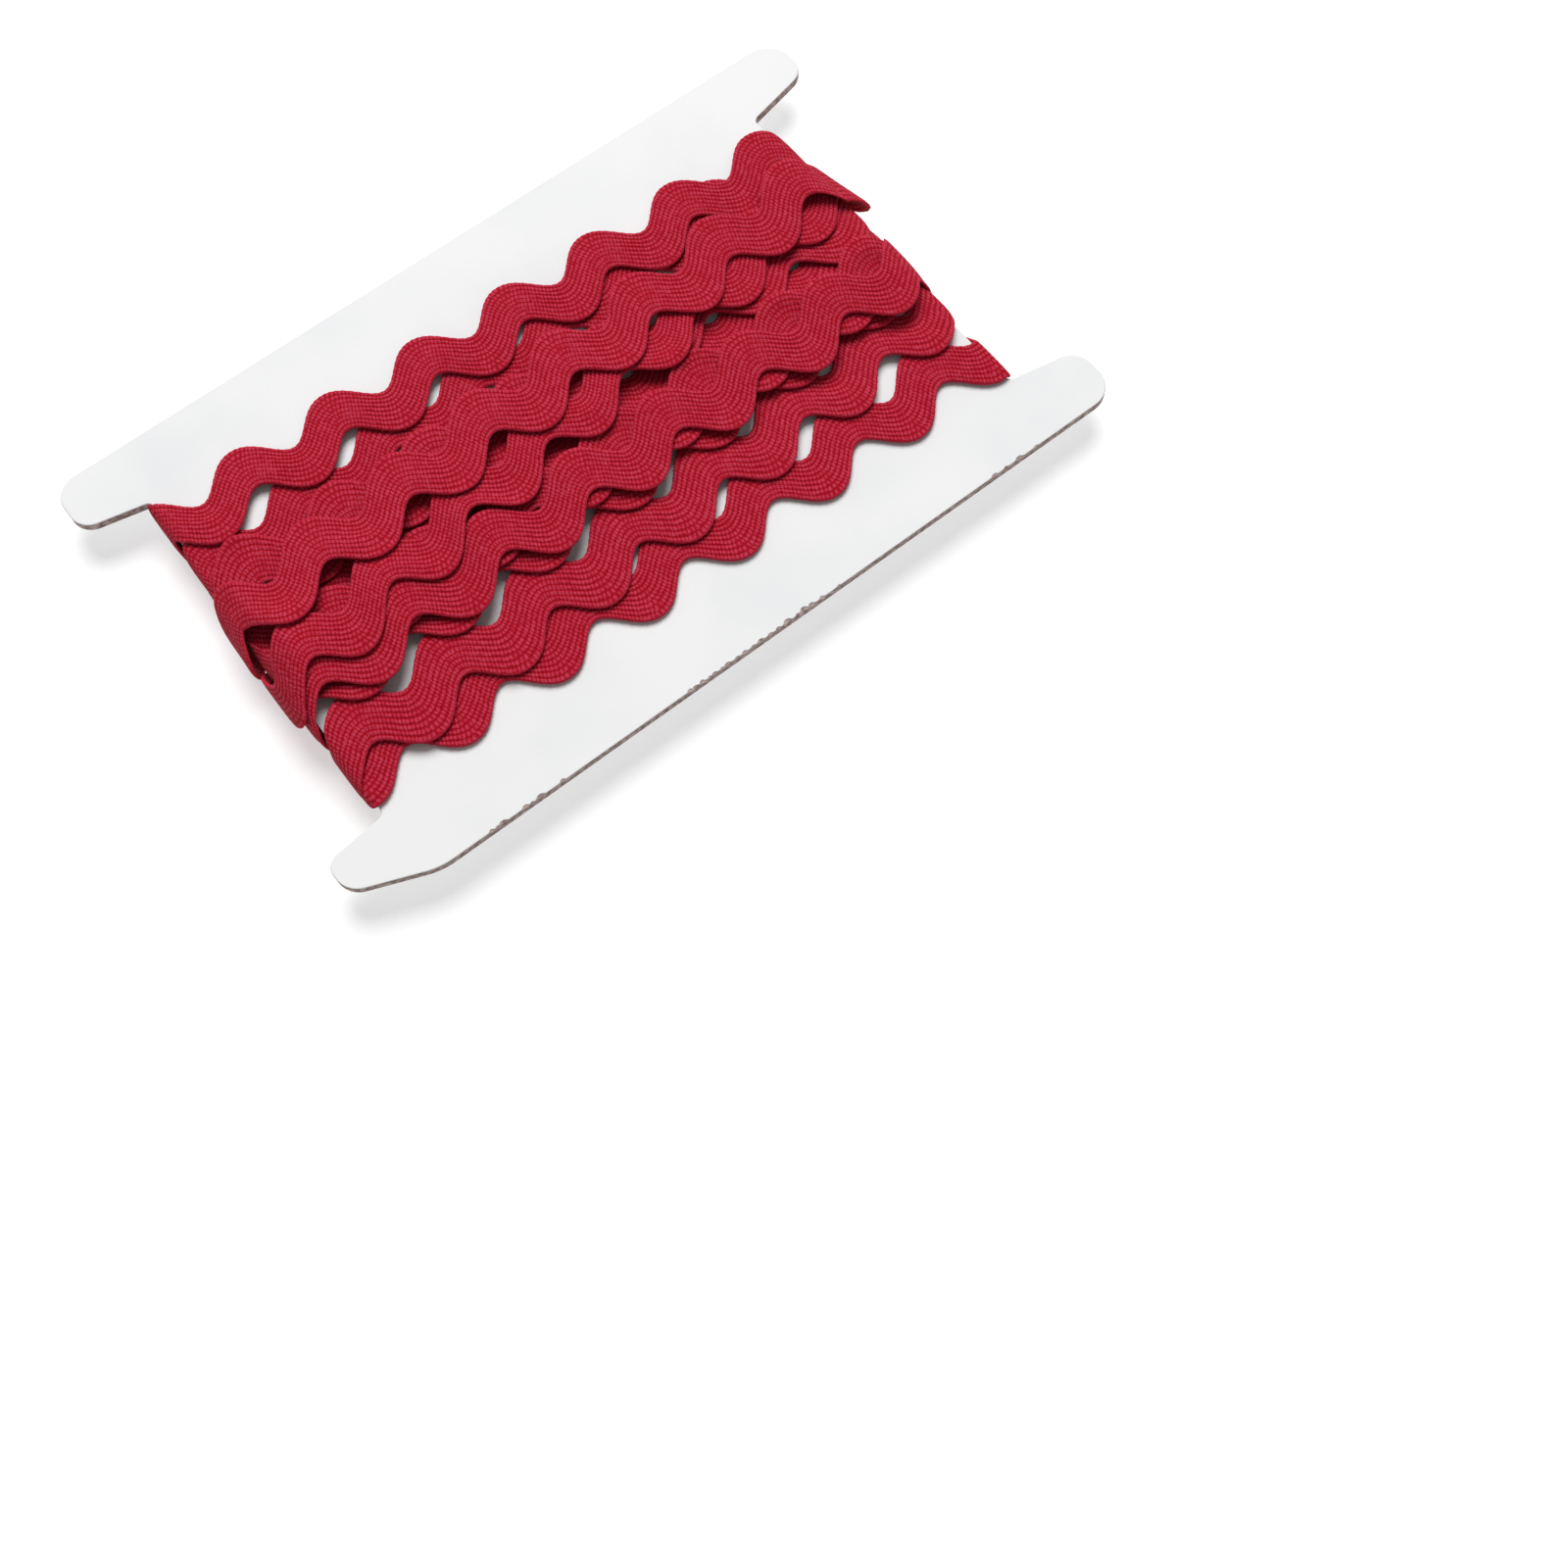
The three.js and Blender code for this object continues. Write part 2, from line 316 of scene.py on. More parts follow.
        # Painted light: the side walls at the tape's edges are coloured lighter.
        rim = (across - 0.5).size().ramp(*self.painted_rim_light_span)
        return nodes.finish({
            "Base Color": nodes.blend(rim, colour, self.rim),
            "Roughness": self.roughness,
            "Sheen Weight": self.sheen,
            "Specular IOR Level": self.specular,
            "Normal": nodes.bump(relief + self.relief_fuzz * fuzz, self.relief),
        })


@dataclass(frozen=True)
class PaperFinish:
    """Smooth white paper that faces the board."""

    white: Colour = linear(221, 221, 221)
    grey: Colour = linear(214, 215, 216)
    clouds: Pair = (60.0, 3.0)
    cloud_span: Pair = (0.35, 0.75)
    grain: Pair = (5200.0, 2.0)
    relief: float = 0.00001
    roughness: float = 0.85
    specular: float = 0.15

    def material(self) -> Material:
        """Builds the material: faint clouds of grey and a very shallow grain.

        Returns:
            The material.
        """
        nodes = NodeTree("white_paper")
        clouds = nodes.noise(*self.clouds)
        grain = nodes.noise(*self.grain)
        return nodes.finish({
            "Base Color": nodes.blend(clouds.ramp(*self.cloud_span), self.white, self.grey),
            "Roughness": self.roughness,
            "Specular IOR Level": self.specular,
            "Normal": nodes.bump(grain, self.relief),
        })


@dataclass(frozen=True)
class CoreFinish:
    """Grey-brown pulp of the board, as it shows at the cut."""

    light: Colour = linear(178, 160, 154)
    dark: Colour = linear(112, 92, 88)
    flecks: Pair = (1500.0, 4.0)
    fleck_span: Pair = (0.3, 0.7)
    relief: float = 0.00008
    roughness: float = 0.92

    def material(self) -> Material:
        """Builds the material: flecked pulp with a fibrous relief.

        Returns:
            The material.
        """
        nodes = NodeTree("board_core")
        flecks = nodes.noise(*self.flecks)
        return nodes.finish({
            "Base Color": nodes.blend(flecks.ramp(*self.fleck_span), self.dark, self.light),
            "Roughness": self.roughness,
            "Normal": nodes.bump(flecks, self.relief),
        })


@dataclass(frozen=True)
class FloorFinish:
    """Plain pale studio floor: a white light table, so that shadows on it stay faint."""

    colour: Colour = linear(196, 196, 196)
    light: Colour = linear(255, 255, 255)
    glow: float = 0.5
    roughness: float = 1.0
    specular: float = 0.0

    def material(self) -> Material:
        """Builds the material.

        Returns:
            The material.
        """
        return NodeTree("pale_floor").finish({
            "Base Color": self.colour,
            "Roughness": self.roughness,
            "Specular IOR Level": self.specular,
            "Emission Color": self.light,
            "Emission Strength": self.glow,
        })


def new_mesh(name: str, points: Array, faces: list[Any]) -> Object:
    """Makes a smooth-shaded mesh object at the origin.

    Args:
        name: The object's name.
        points: Millimetres in the card's frame, one row a point.
        faces: Vertex numbers of each face.

    Returns:
        The object, linked to the scene.
    """
    placed = (points + np.array([NOTCH_CENTRE_X, 0.0, CARD_LIFT])) * MM
    mesh = bpy.data.meshes.new(name)
    mesh.from_pydata(placed.tolist(), [], faces)
    mesh.validate()
    mesh.shade_smooth()
    piece = bpy.data.objects.new(name, mesh)
    bpy.context.scene.collection.objects.link(piece)
    return piece


def blur(values: Array, times: int, axis: int = 0) -> Array:
    """Averages each value with its neighbours, by weights of 1, 2 and 1.

    Args:
        values: The values.
        times: How often.
        axis: The axis that the neighbours are on.

    Returns:
        The smoothed values.
    """
    for _ in range(times):
        ends = [(1, 1) if i == axis else (0, 0) for i in range(values.ndim)]
        wide = np.pad(values, ends, mode="edge")
        count = values.shape[axis]
        before, after = (np.take(wide, range(i, i + count), axis=axis) for i in (0, 2))
        values = 0.25 * before + 0.5 * values + 0.25 * after
    return values


@dataclass(frozen=True)
class Braid:
    """The tape itself: a flat braid whose two edges run in waves.

    height is that of the tape across a bend, swing half the height of its wave, and fullness what it gains
    between the bends, as a share of twice the wave's height. A layer is what each turn adds to the pile: the
    tape's thickness and the air under it. A tooth is how far every other column stands out at both edges,
    past the share toothed of the way to them. The share lip keeps the faces' first points off the edges.
    rib_on_slant, rib_lost and rib_least say how much the ribs stand out where.
    """

    height: float = 6.6
    swing: float = 2.15
    fullness: float = 0.11
    layer: float = 0.8
    thickness: float = 0.6
    waves_per_mm: float = 1 / 13.2
    ribs: int = 9
    rib_relief: float = 0.055
    rib_on_slant: float = 1.1
    rib_lost: float = 0.9
    rib_least: float = 0.15
    edge_roundness: float = 4.0
    lip: float = 0.006
    tooth: float = 0.035
    toothed: float = 0.98
    steps_per_rib: int = 4
    inner_steps: int = 22

    def spread(self, phase: Array) -> Array:
        """Height of the tape across its wave: fuller between the bends by a squared sine."""
        return self.height + 4 * self.swing * self.fullness * np.sin(phase) ** 2

    def middle_wave(self, phase: Array) -> Array:
        """How far the wave takes the middle of the tape off its straight line: a cosine."""
        return self.swing * np.cos(phase)

    def section(self) -> tuple[Array, Array]:
        """Closed section of the tape, as a ring of points.

        The section is a flat loop with round ends: at the share v of the tape's height the two faces stand
        apart by the thickness times the n-th root of 1 - |2v - 1| to the n.

        Returns:
            The share v of each point, and its half thickness, which is positive on the outer face.
        """
        outer = np.linspace(0, 1, self.ribs * self.steps_per_rib + 1)[1:-1]
        inner = np.linspace(1, 0, self.inner_steps + 1)[1:-1]
        outer = np.concatenate([[self.lip], outer, [1 - self.lip]])
        inner = np.concatenate([[1 - self.lip], inner, [self.lip]])
        share = np.concatenate([[0.0], outer, [1.0], inner])
        sign = np.concatenate([[0.0], np.ones(len(outer)), [0.0], -np.ones(len(inner))])
        power = self.edge_roundness
        plump = np.maximum(0.0, 1 - np.abs(2 * share - 1) ** power) ** (1 / power)
        return share, sign * plump / 2


@dataclass(frozen=True)
class Turn:
    """One turn of tape. Pairs of values are for the left and the right end, or as the tape runs.

    y is the middle of the tape at the folds, bow how far the run's middle lies off the line between them,
    crest the x of one of the wave's crests and wave its length. front and back are layers of tape, and reach
    how far the folds stand off the card's ends, which together give the wave its step round each fold.
    loose is how far a fold stands off all that it could lie on, beyond that. flare draws the wave out round
    the right fold, and on the last turn it is also how much less that fold stands off at the tape's upper
    edge. width is the tape's share of its plain width, more where it isn't pulled tight.
    """

    y: Pair
    bow: float
    crest: float
    wave: float
    front: Pair
    back: Pair
    reach: Pair
    loose: Pair = (0.0, 0.0)
    flare: float = 0.0
    width: float = 1.0

    def phase(self, x: Any) -> Any:
        """Phase of the wave on the front, at x."""
        return FULL_TURN * (x - self.crest) / self.wave


TURNS = (
    Turn((-19.6, -20.4), -0.4, -0.2, 13.2, (1, 1), (1, 1), (1.1, 1.1), flare=0.8),
    Turn((-17.2, -12.0), -0.3, -3.4, 13.1, (2, 2), (2, 2), (1.6, 1.4), width=1.14),
    Turn((-8.5, -5.0), -0.8, -6.3, 13.1, (2.4, 2.4), (2, 3), (1.2, 1.3)),
    Turn((-0.4, 1.6), 1.2, 3.3, 13.0, (1.5, 1.5), (1.5, 1.5), (1.2, 1.2), width=1.12),
    Turn((12.9, 16.9), 0.0, -5.3, 13.1, (1, 1), (2, 2), (1.1, 1.2)),
    Turn((20.2, 18.2), 0.0, 4.1, 13.1, (2, 2), (3, 3), (1.3, 1.5)),
    Turn((8.7, 4.5), 0.1, -2.9, 12.9, (2, 2), (3, 3), (1.5, 1.7), width=1.12),
    Turn((-3.3, -4.4), -0.6, 2.7, 13.4, (3, 3), (4, 4), (1.6, 1.4)),
    Turn((-8.7, -6.2), 0.4, -3.9, 13.1, (4, 3.5), (5, 5), (1.9, 2.0)),
    Turn((-6.4, 9.6), 1.0, -4.0, 12.9, (4.5, 3), (4, 5), (2.1, 1.9), (0.9, 0.0)),
    Turn((3.55, 11.05), 0.4, 4.0, 12.8, (5, 4), (5, 5), (2.6, 2.6), (1.2, 2.2), 0.8, 1.1),
)


@dataclass
class Route:
    """The tape's way round the card as columns, one for each small step along it.

    cell is the column's place on the loop round the card: the front, the right end, the back, the left end.
    legs are the first columns of its legs, the lead-in's and each turn's, and the end. The tape starts
    behind the card at lead_x and ends there at tail_x and tail_y. The height of a fold is worked out from
    fold_clearance and, for each layer, fold_layer.
    """

    braid: Braid
    face_cells: int = 258
    fold_cells: int = 20
    tail_x: float = -22.0
    tail_y: float = 13.5
    lead_x: float = -14.0
    fold_clearance: float = 0.3
    fold_layer: float = 0.85
    middle_blurs: int = 40
    width_blurs: int = 60
    loop: int = field(init=False)
    cell: Array = field(init=False)
    phase: Array = field(init=False)
    middle: Array = field(init=False)
    loose: Array = field(init=False)
    width: Array = field(init=False)
    flare: Array = field(init=False)
    legs: list[int] = field(init=False)

    def __post_init__(self) -> None:
        """Lays out the columns: a short lead-in under the back, then every turn."""
        self.loop = 2 * (self.face_cells + self.fold_cells)
        legs = [*self._lead_in(TURNS[0])]
        for turn, following in zip(TURNS, (*TURNS[1:], None)):
            legs += self._turn(turn, following)
        self.legs = list(np.cumsum([0] + [len(leg[0]) for leg in legs]))
        self.cell, self.phase, self.middle, self.loose = (
            np.concatenate([leg[i] for leg in legs]) for i in range(4)
        )
        self.middle = blur(self.middle, self.middle_blurs)
        self.width = np.ones(len(self.cell))
        for turn, start in zip(TURNS, self.legs[LEGS_OF_RUN::LEGS_OF_TURN]):
            self.width[start:] = turn.width
        self.width = blur(self.width, self.width_blurs)
        last_fold, last_back = self.legs[-3:-1]
        self.flare = np.zeros(len(self.cell))
        self.flare[last_fold:last_back] = TURNS[-1].flare

    def x_of(self, cell: Array) -> tuple[Array, Array]:
        """Where a cell of the loop is.

        Args:
            cell: Places on the loop, fractions allowed.

        Returns:
            The x where the card's section is met, and the angle round the card from the front face.
        """
        face, fold = self.face_cells, self.fold_cells
        steps = [0, face, face + fold, 2 * face + fold, self.loop]
        length = NOTCH_HALF_LENGTH
        x = np.interp(cell, steps, [-length, length, length, -length, -length])
        angle = np.interp(cell, steps, [0, 0, math.pi, math.pi, FULL_TURN])
        return x, angle

    def _fold_phase(self, reach: float, first: float, second: float) -> float:
        """Phase gained round a fold, which is pi times the root mean square of its oval's radii long."""
        height = BOARD_THICKNESS / 2 + self.fold_clearance + self.fold_layer * (first + second) / 2
        return FULL_TURN * self.braid.waves_per_mm * math.pi * math.sqrt((reach**2 + height**2) / 2)

    def _leg(self, first_cell: int, count: int, phase: Any, middle: Any, loose: float) -> Leg:
        """Lays out one leg of the way.

        Args:
            first_cell: Its first cell on the loop.
            count: How many cells it has.
            phase: The wave's phase, as its two ends or a function of the share of the leg.
            middle: The tape's middle, in the same way.
            loose: How loose its fold is.

        Returns:
            The leg.
        """
        share = np.arange(count) / count
        cell = np.arange(first_cell, first_cell + count)
        step = phase(share) if callable(phase) else phase[0] + (phase[1] - phase[0]) * share
        line = middle(share) if callable(middle) else middle[0] + (middle[1] - middle[0]) * share
        return cell, step, line, np.full(count, loose)

    def _lead_in(self, first: Turn) -> list[Leg]:
        """Lays out the hidden start of the tape, on the back, and its fold round the left end.

        Args:
            first: The turn that it leads to.

        Returns:
            Its two legs.
        """
        face, fold = self.face_cells, self.fold_cells
        arrival = first.phase(-NOTCH_HALF_LENGTH)
        back_end = arrival - self._fold_phase(first.reach[0], 1, 1)
        count = round(face * (self.lead_x + NOTCH_HALF_LENGTH) / (2 * NOTCH_HALF_LENGTH))
        gained = FULL_TURN * self.braid.waves_per_mm * (self.lead_x + NOTCH_HALF_LENGTH)
        start = 2 * face + fold - count
        line = (first.y[0], first.y[0])
        return [
            self._leg(start, count, (back_end - gained, back_end), line, 0.0),
            self._leg(2 * face + fold, fold, (back_end, arrival), line, 0.0),
        ]

    def _turn(self, turn: Turn, following: Turn | None) -> list[Leg]:
        """Lays out one turn: front, right fold, back and the left fold to the next turn.

        Args:
            turn: The turn.
            following: The next one, if there is one.

        Returns:
            Its four legs, or three for the last turn, which ends on the back.
        """
        face, fold, length = self.face_cells, self.fold_cells, NOTCH_HALF_LENGTH
        low, high = turn.phase(-length), turn.phase(length)
        back_start = high + self._fold_phase(turn.reach[1], turn.front[1], turn.back[0])

        def bowed(share: Array) -> Array:
            """The tape's middle: a straight line from fold to fold with a parabola on it."""
            return turn.y[0] + (turn.y[1] - turn.y[0]) * share + turn.bow * 4 * share * (1 - share)

        def lagging(share: Array) -> Array:
            """Wave's phase round the right fold: a power of the share of the fold."""
            return high + (back_start - high) * share ** (1 + turn.flare)

        legs = [
            self._leg(0, face, (low, high), bowed, 0.0),
            self._leg(face, fold, lagging, (turn.y[1], turn.y[1]), turn.loose[1]),
        ]
        if following is None:
            count = round(face * (length - self.tail_x) / (2 * length))
            gained = FULL_TURN * self.braid.waves_per_mm * (length - self.tail_x)
            line = (turn.y[1], self.tail_y)
            return [*legs, self._leg(face + fold, count, (back_start, back_start + gained), line, 0.0)]
        left_phase = self._fold_phase(following.reach[0], turn.back[1], following.front[0])
        arrival = following.phase(-length)
        free_arrival = back_start + FULL_TURN * self.braid.waves_per_mm * 2 * length + left_phase
        back_end = arrival + FULL_TURN * round((free_arrival - arrival) / FULL_TURN) - left_phase
        left = (following.y[0], following.y[0])
        line = (turn.y[1], following.y[0])
        return [
            *legs,
            self._leg(face + fold, face, (back_start, back_end), line, 0.0),
            self._leg(2 * face + fold, fold, (back_end, back_end + left_phase), left, following.loose[0]),
        ]


@dataclass
class Pile:
    """Height of all that is wound so far, on a map of the loop round the card by the card's width.

    A run covers margin of its height beyond both its edges.
    """

    loop: int
    clearance: float = 0.06
    half_width: float = 32.0
    row_step: float = 0.25
    margin: float = 0.03
    rows: Array = field(init=False)
    height: Array = field(init=False)

    def __post_init__(self) -> None:
        """Starts with the bare card."""
        rows = round(2 * self.half_width / self.row_step) + 1
        self.rows = np.linspace(-self.half_width, self.half_width, rows)
        self.height = np.full((self.loop, rows), self.clearance)

    def under(self, cell: Array, y: Array) -> Array:
        """Height of the pile at points of a run, the highest of what lies within a cell of each.

        Args:
            cell: Cell of each column of the run.
            y: Places across the card, a row for each column.

        Returns:
            The height at each place.
        """
        wide = self.height
        wide = np.maximum(wide, np.maximum(np.roll(wide, 1, 0), np.roll(wide, -1, 0)))
        wide = np.maximum(wide, np.maximum(np.roll(wide, 1, 1), np.roll(wide, -1, 1)))
        row = (y + self.half_width) / self.row_step
        low = np.clip(np.floor(row).astype(int), 0, len(self.rows) - 2)
        part = row - low
        column = (cell % self.loop)[:, None]
        return wide[column, low] * (1 - part) + wide[column, low + 1] * part

    def cover(self, cell: Array, low: Array, spread: Array, top: Array) -> None:
        """Lays a run on the pile.

        Args:
            cell: Cell of each column of the run.
            low: Lower edge of the tape at each column.
            spread: Height of the tape across its wave at each column.
            top: Height of its outer face, by column and share of the tape's height.
        """
        share = (self.rows[None, :] - low[:, None]) / spread[:, None]
        last = top.shape[1] - 1
        place = np.clip(share, 0, 1) * last
        left = np.minimum(place.astype(int), last - 1)
        part = place - left
        column = np.arange(len(cell))[:, None]
        laid = top[column, left] * (1 - part) + top[column, left + 1] * part
        inside = (share > -self.margin) & (share < 1 + self.margin)
        rows = self.height[cell % self.loop]
        self.height[cell % self.loop] = np.where(inside, np.maximum(rows, laid), rows)


@dataclass
class Drape:
    """Settles a run of tape on the pile under it.

    A taut sheet is let down on the pile: at each step every point takes the mean of its neighbours, less a
    small load, and is held up where the pile is higher. The sheet is free at both edges of the tape. It
    starts as high as the highest of the pile within the columns of first_reach.
    """

    shares: int = 33
    along: float = 0.5
    load: float = 0.0009
    rounds: int = 900
    first_reach: tuple[int, ...] = (1, 2, 4, 8, 8)
    smoothing: int = 5

    def settle(self, support: Array, start: Array | None) -> Array:
        """Lets one run down.

        Args:
            support: Height of the pile under it, by column and share of the tape's height.
            start: Height of its first column, where it goes on from another run.

        Returns:
            Height of its inner face.
        """
        sheet = support.copy()
        for reach in self.first_reach:
            ahead = np.vstack([sheet[reach:], np.repeat(sheet[-1:], reach, 0)])
            behind = np.vstack([np.repeat(sheet[:1], reach, 0), sheet[:-reach]])
            sheet = np.maximum(sheet, np.maximum(ahead, behind))
        across = 1 - self.along
        for _ in range(self.rounds):
            wide = np.pad(sheet, 1, mode="edge")
            length = wide[2:, 1:-1] + wide[:-2, 1:-1]
            width = wide[1:-1, 2:] + wide[1:-1, :-2]
            mean = 0.5 * (self.along * length + across * width) - self.load
            sheet = np.maximum(mean, support)
            if start is not None:
                sheet[0] = start
        return blur(blur(sheet, self.smoothing, 0), self.smoothing, 1)


@dataclass
class Winding:
    """The whole tape as it lies on the card, cut into one piece a turn at the middle of the back.

    fold_squeeze is how far a fold stands off the card's end as a share of the pile's height there, and
    lead_share how far before the end it starts to round, as a share of its height over the face. A loose
    fold's run rises by rise_share of what the fold stands off, and the rise dies away over rise_length, as a
    bell cut off at fade_lengths of it. fold_length is the length of a fold as a share of a round one. Each
    run is let down together with the first look_ahead columns of the next.
    """

    braid: Braid
    route: Route
    drape: Drape
    look_ahead: int = 24
    fold_squeeze: float = 0.12
    lead_share: float = 0.8
    rise_share: float = 0.6
    rise_length: float = 5.0
    fade_lengths: int = 4
    fold_length: float = 0.75
    inner: Array = field(init=False)
    stand: Array = field(init=False)
    low: Array = field(init=False)
    spread: Array = field(init=False)

    def __post_init__(self) -> None:
        """Settles the runs one after another."""
        pile = Pile(self.route.loop)
        shares = np.linspace(0, 1, self.drape.shares)
        route, braid = self.route, self.braid
        count = len(route.cell)
        self.inner = np.zeros((count, self.drape.shares))
        self.stand = np.zeros(count)
        spread = braid.spread(route.phase) * route.width
        low = route.middle + braid.middle_wave(route.phase) - spread / 2
        self.low, self.spread = low, spread
        start = None
        pairs = route.legs[::LEGS_OF_RUN]
        for first, last in zip(pairs, [*pairs[1:], route.legs[-1]]):
            further = min(last + self.look_ahead, count)
            part = slice(first, further)
            y = low[part, None] + shares[None, :] * spread[part, None]
            sheet = self.drape.settle(pile.under(route.cell[part], y), start)
            start = sheet[last - first] if further > last else None
            self.inner[first:last] = sheet[: last - first]
            ready = slice(first, last)
            pile.cover(route.cell[ready], low[ready], spread[ready], self.inner[ready] + braid.layer)
        self._loosen()
        self._press_back()

    def _loosen(self) -> None:
        """Lets the loose folds stand off.

        The bulge is a sine round the fold. The run next to it rises by a share of the bulge, which dies away
        from the fold as a bell. Where the fold flares, both are less towards the tape's upper edge.
        """
        route = self.route
        for first, last in zip(route.legs, route.legs[1:]):
            loose = route.loose[first]
            if not loose:
                continue
            share = np.arange(last - first) / (last - first)
            right = route.cell[first] < route.loop / 2
            near_front = (1 + np.cos(math.pi * share)) / 2 if right else (1 - np.cos(math.pi * share)) / 2
            self.stand[first:last] = loose * np.sin(math.pi * share)
            slack = 1 - route.flare[first] * np.linspace(0, 1, self.drape.shares)
            rise = self.rise_share * loose * slack
            self.inner[first:last] += near_front[:, None] * rise
            step = 2 * NOTCH_HALF_LENGTH / route.face_cells
            reach = min(route.face_cells, round(self.fade_lengths * self.rise_length / step))
            fade = np.exp(-((np.arange(reach) * step / self.rise_length) ** 2))[:, None] * rise
            if right:
                self.inner[first - reach : first] += fade[::-1]
            else:
                self.inner[last : last + reach] += fade

    def _press_back(self) -> None:
        """Presses the pile behind the card against what the roll lies on.

        Its height is stretched until the deepest place behind the board's face is as deep as there is room,
        and nothing goes deeper.
        """
        face, fold = self.route.face_cells, self.route.fold_cells
        cell = self.route.cell % self.route.loop
        back = (cell >= face + fold // 2) & (cell < 2 * face + fold + fold // 2)
        room = LOWEST_TAPE - self.braid.layer - self.braid.rib_relief
        flat = (cell >= face + 2 * fold) & (cell < 2 * face)
        deepest = self.inner[flat].max()
        self.inner[back] = np.minimum(self.inner[back] * max(1.0, room / deepest), room)

    def pieces(self) -> list[tuple[int, int]]:
        """Cuts the tape at the middle of the back.

        Returns:
            First and last column of each piece.
        """
        face, fold = self.route.face_cells, self.route.fold_cells
        cut = face + fold + face // 2
        starts = self.route.legs[LEGS_OF_RUN::LEGS_OF_TURN][: len(TURNS) - 1]
        seams = [0, *(int(start) + cut for start in starts), len(self.route.cell) - 1]
        return list(zip(seams, seams[1:]))

    def build(self, finish: BraidFinish) -> list[Object]:
        """Makes the meshes.

        A point of the section stands off the card's middle by half the board, the height of the tape's inner
        face and its own share of the thickness. Round the ends of the card it follows an oval.

        Args:
            finish: The braid's finish.

        Returns:
            The pieces, one a turn.
        """
        material = finish.material(self.braid)
        share, half = self.braid.section()
        lengths, slants = self._lengths()
        made = []
        for number, (first, last) in enumerate(self.pieces()):
            columns = np.arange(first, last + 1)
            points = self._points(columns, share, half)
            values = {
                "along": lengths[columns, None],
                "across": share[None, :],
                "bend": np.cos(self.route.phase[columns, None]),
                "slant": slants[columns, None],
            }
            piece = self._piece(f"ric_rac_turn_{number + 1:02d}", points, values)
            piece.data.materials.append(material)
            made.append(piece)
            LOG.info("%s: %d faces", piece.name, len(piece.data.polygons))
        return made

    def _lengths(self) -> tuple[Array, Array]:
        """Measures the tape's middle line.

        Returns:
            The length along it at each column, and the sine of the wave's slope there.
        """
        route = self.route
        x, angle = route.x_of(route.cell % route.loop)
        middle = self.inner[:, self.drape.shares // 2] + BOARD_THICKNESS / 2
        y = route.middle + self.braid.middle_wave(route.phase)
        run = np.hypot(np.diff(x), np.diff(np.unwrap(angle)) * middle[:-1] * self.fold_length)
        rise = np.diff(y)
        step = np.hypot(run, rise)
        slope = rise / np.maximum(step, 1e-6)
        return np.concatenate([[0.0], np.cumsum(step)]), np.concatenate([slope[:1], slope])

    def _points(self, columns: Array, share: Array, half: Array) -> Array:
        """Places the tape's surface.

        Its ribs are a cosine across it, full on the slants and on the inner side of each bend, and fading in
        proportion to the distance from the middle towards the bend's outer side.

        Args:
            columns: Columns of the tape.
            share: Share of the tape's height at each point of the section.
            half: Half thickness there, as a share of the whole, positive on the outer face.

        Returns:
            The points, by column and place on the section's ring.
        """
        route, braid = self.route, self.braid
        place = share * (self.drape.shares - 1)
        left = np.minimum(place.astype(int), self.drape.shares - 2)
        part = place - left
        sheet = self.inner[columns]
        inner = sheet[:, left] * (1 - part) + sheet[:, left + 1] * part
        phase = route.phase[columns, None]
        outer_side = np.cos(phase) * (2 * share[None, :] - 1)
        ribbed = np.abs(np.sin(phase)) * braid.rib_on_slant - outer_side * braid.rib_lost + braid.rib_least
        ribbed = np.clip(ribbed / braid.rib_on_slant, 0, 1)
        ribs = -np.cos(FULL_TURN * braid.ribs * share)[None, :] * ribbed
        stand_off = braid.layer - braid.thickness * (0.5 - half[None, :])
        height = BOARD_THICKNESS / 2 + inner + stand_off + 2 * half[None, :] * braid.rib_relief * ribs
        tooth = braid.tooth * np.where(columns % 2, 1.0, -1.0)[:, None]
        edge = np.where(np.abs(2 * share - 1) > braid.toothed, 2 * share - 1, 0.0)[None, :]
        y = self.low[columns, None] + share[None, :] * self.spread[columns, None] + tooth * edge
        slack = 1 - route.flare[columns, None] * share[None, :]
        reach = self.fold_squeeze * (height - stand_off) + stand_off + self.stand[columns, None] * slack
        x, z = self._round_the_ends(columns, height, reach)
        return np.stack([x, y, z], axis=-1)

    def _round_the_ends(
        self, columns: Array, height: Array, reach: Array
    ) -> tuple[Array, Array]:
        """Carries points round the ends of the card.

        Above the board each point follows a half oval: it starts a lead before the card's end, in proportion
        to the point's height over the face, and stands off the end by its reach. The board's own half
        thickness is added as a plain half turn. On a face, the oval's height is that of the place.

        Args:
            columns: Columns of the tape.
            height: Height of each point over the middle of the board.
            reach: How far it stands off the card's end.

        Returns:
            The x and the z of each point.
        """
        route = self.route
        base, angle = (values[:, None] for values in route.x_of(route.cell[columns] % route.loop))
        board = BOARD_THICKNESS / 2
        over = height - board
        lead = self.lead_share * over
        oval = lead + reach
        first = np.arcsin(lead / oval)
        local = angle % math.pi
        folded = local > 0
        right = np.where(angle < math.pi, 1.0, -1.0)
        turned = first + (math.pi - 2 * first) * local / math.pi
        end = NOTCH_HALF_LENGTH - lead + oval * np.sin(turned)
        x = np.where(folded, right * end, base)
        fold_z = right * (board * np.cos(local) + over * np.cos(turned))
        near = np.clip((lead - (NOTCH_HALF_LENGTH - np.abs(base))) / oval, 0, 1)
        face_z = np.cos(angle) * (board + over * np.sqrt(1 - near**2))
        return x, np.where(folded, fold_z, face_z)

